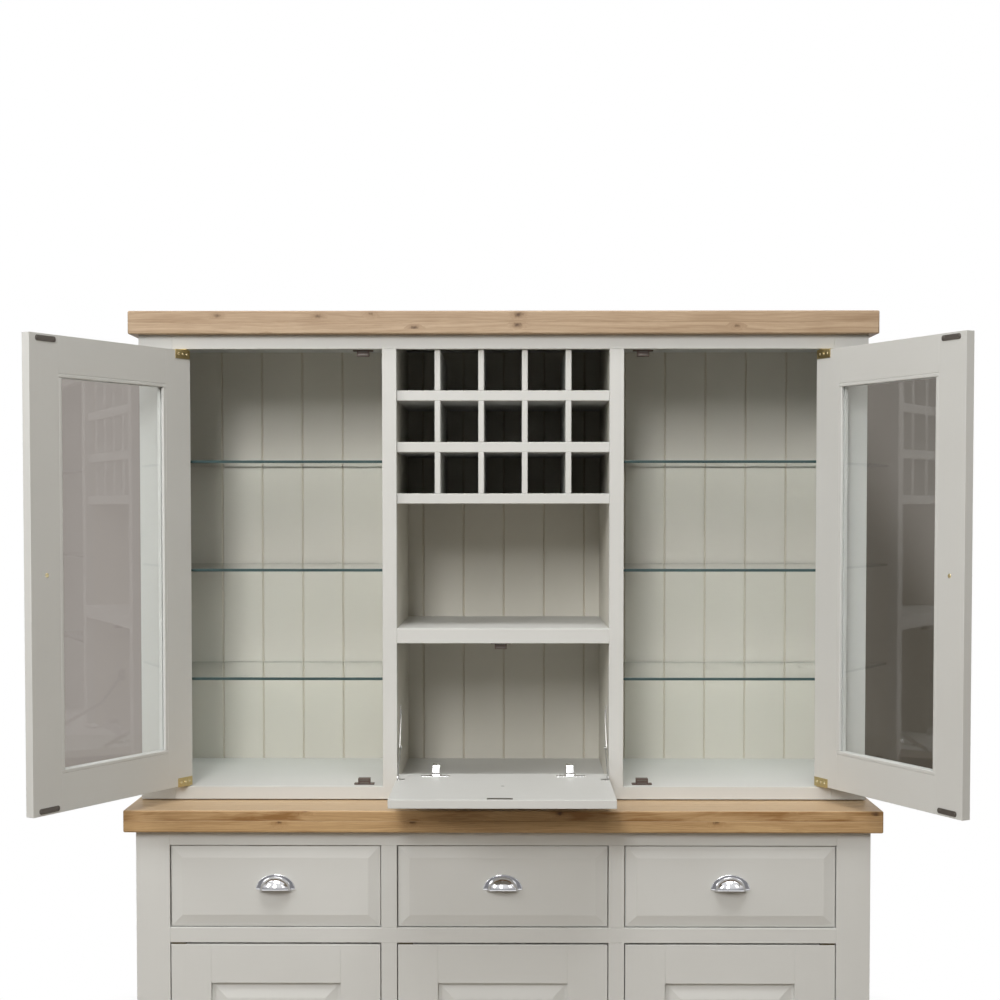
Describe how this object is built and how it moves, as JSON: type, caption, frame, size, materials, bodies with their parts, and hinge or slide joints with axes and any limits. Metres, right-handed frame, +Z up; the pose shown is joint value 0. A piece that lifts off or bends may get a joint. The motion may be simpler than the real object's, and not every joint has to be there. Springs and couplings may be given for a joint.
{
  "type": "kitchen dresser",
  "caption": "Painted two-part kitchen dresser with oak tops: glazed hutch with wine rack, glass shelves and drop flap over a base of drawers and cupboards.",
  "frame": {"origin": "on the floor, under the middle of the base's footprint", "axes": "+X to the right seen from the front, +Y towards the wall behind, +Z up"},
  "size_m": [1.852, 0.787, 1.96],
  "materials": {
    "paint": "satin off-white paint",
    "oak": "oiled oak",
    "drawer_wood": "plain pale wood",
    "glass": "clear, polished edges",
    "chrome": "polished",
    "steel": "zinc plated",
    "brass": "satin",
    "brown_plastic": "moulded"
  },
  "bodies": {
    "cabinet": {"base_sides": "paint", "base_face_frame": "paint", "base_floor": "paint", "base_drawer_deck": "paint", "base_back": "paint", "base_partition": "paint", "drawer_guides": "paint", "base_shelves": "paint", "worktop": "oak", "hutch_sides": "paint", "hutch_face_frame": "paint", "hutch_floor": "paint", "hutch_dividers": "paint", "hutch_top": "oak", "hutch_back": "paint", "wine_rack_shelves": "paint", "wine_rack_uprights": "paint", "display_shelf": "paint", "glass_shelves": "glass", "shelf_pins": "steel", "magnetic_catches": "brown_plastic", "pivot_plates": "brass", "flap_cabinet_fittings": "chrome"},
    "left_glazed_door": {"left_door_frame": "paint", "left_door_glass": "glass", "left_door_beads": "paint", "left_door_pivot_leaves": "brass", "left_door_strikes": "steel", "left_door_knob": "chrome"},
    "right_glazed_door": {"right_door_frame": "paint", "right_door_glass": "glass", "right_door_beads": "paint", "right_door_pivot_leaves": "brass", "right_door_strikes": "steel", "right_door_knob": "chrome"},
    "flap": {"flap_panel": "paint", "flap_knob": "chrome", "flap_fittings": "chrome"},
    "left_stay_upper": {"left_stay_upper_arm": "steel"},
    "left_stay_lower": {"left_stay_lower_arm": "steel"},
    "right_stay_upper": {"right_stay_upper_arm": "steel"},
    "right_stay_lower": {"right_stay_lower_arm": "steel"},
    "left_drawer": {"left_drawer_front": "paint", "left_drawer_box": "drawer_wood", "left_drawer_pull": "chrome"},
    "left_cupboard_door": {"left_cupboard_door": "paint", "left_cupboard_fittings": "brass", "left_cupboard_knob": "chrome"},
    "middle_drawer": {"middle_drawer_front": "paint", "middle_drawer_box": "drawer_wood", "middle_drawer_pull": "chrome"},
    "middle_cupboard_door": {"middle_cupboard_door": "paint", "middle_cupboard_fittings": "brass", "middle_cupboard_knob": "chrome"},
    "right_drawer": {"right_drawer_front": "paint", "right_drawer_box": "drawer_wood", "right_drawer_pull": "chrome"},
    "right_cupboard_door": {"right_cupboard_door": "paint", "right_cupboard_fittings": "brass", "right_cupboard_knob": "chrome"}
  },
  "joints": [
    {"name": "left_door_hinge", "type": "hinge", "parent": "cabinet", "child": "left_glazed_door", "pos_m": [-0.6985, -0.146, 1.405], "axis": [0, 0, 1], "range_deg": [-9, 121]},
    {"name": "right_door_hinge", "type": "hinge", "parent": "cabinet", "child": "right_glazed_door", "pos_m": [0.6985, -0.146, 1.405], "axis": [0, 0, -1], "range_deg": [-12.5, 117.5]},
    {"name": "flap_hinge", "type": "hinge", "parent": "cabinet", "child": "flap", "pos_m": [0, -0.1425, 0.9455], "axis": [-1, 0, 0], "range_deg": [0, 90]},
    {"name": "left_stay_upper_pivot", "type": "hinge", "parent": "cabinet", "child": "left_stay_upper", "pos_m": [-0.2264, -0.0565, 1.0815], "axis": [1, 0, 0], "range_deg": [0, 61.2]},
    {"name": "left_stay_lower_pivot", "type": "hinge", "parent": "flap", "child": "left_stay_lower", "pos_m": [-0.2264, -0.2095, 0.9595], "axis": [1, 0, 0], "range_deg": [0, 55.9]},
    {"name": "right_stay_upper_pivot", "type": "hinge", "parent": "cabinet", "child": "right_stay_upper", "pos_m": [0.2264, -0.0565, 1.0815], "axis": [1, 0, 0], "range_deg": [0, 61.2]},
    {"name": "right_stay_lower_pivot", "type": "hinge", "parent": "flap", "child": "right_stay_lower", "pos_m": [0.2264, -0.2095, 0.9595], "axis": [1, 0, 0], "range_deg": [0, 55.9]},
    {"name": "left_drawer_slide", "type": "slide", "parent": "cabinet", "child": "left_drawer", "axis": [0, -1, 0], "range_m": [0, 0.33]},
    {"name": "middle_drawer_slide", "type": "slide", "parent": "cabinet", "child": "middle_drawer", "axis": [0, -1, 0], "range_m": [0, 0.33]},
    {"name": "right_drawer_slide", "type": "slide", "parent": "cabinet", "child": "right_drawer", "axis": [0, -1, 0], "range_m": [0, 0.33]},
    {"name": "left_cupboard_hinge", "type": "hinge", "parent": "cabinet", "child": "left_cupboard_door", "pos_m": [-0.69, -0.243, 0.3695], "axis": [0, 0, -1], "range_deg": [0, 100]},
    {"name": "middle_cupboard_hinge", "type": "hinge", "parent": "cabinet", "child": "middle_cupboard_door", "pos_m": [-0.20783, -0.243, 0.3695], "axis": [0, 0, -1], "range_deg": [0, 100]},
    {"name": "right_cupboard_hinge", "type": "hinge", "parent": "cabinet", "child": "right_cupboard_door", "pos_m": [0.69, -0.243, 0.3695], "axis": [0, 0, 1], "range_deg": [0, 100]}
  ],
  "couplings": [
    {"joint": "left_stay_upper_pivot", "follows": "flap_hinge", "ratio": 0.67873},
    {"joint": "left_stay_lower_pivot", "follows": "flap_hinge", "ratio": 0.61968},
    {"joint": "right_stay_upper_pivot", "follows": "flap_hinge", "ratio": 0.67873},
    {"joint": "right_stay_lower_pivot", "follows": "flap_hinge", "ratio": 0.61968}
  ]
}
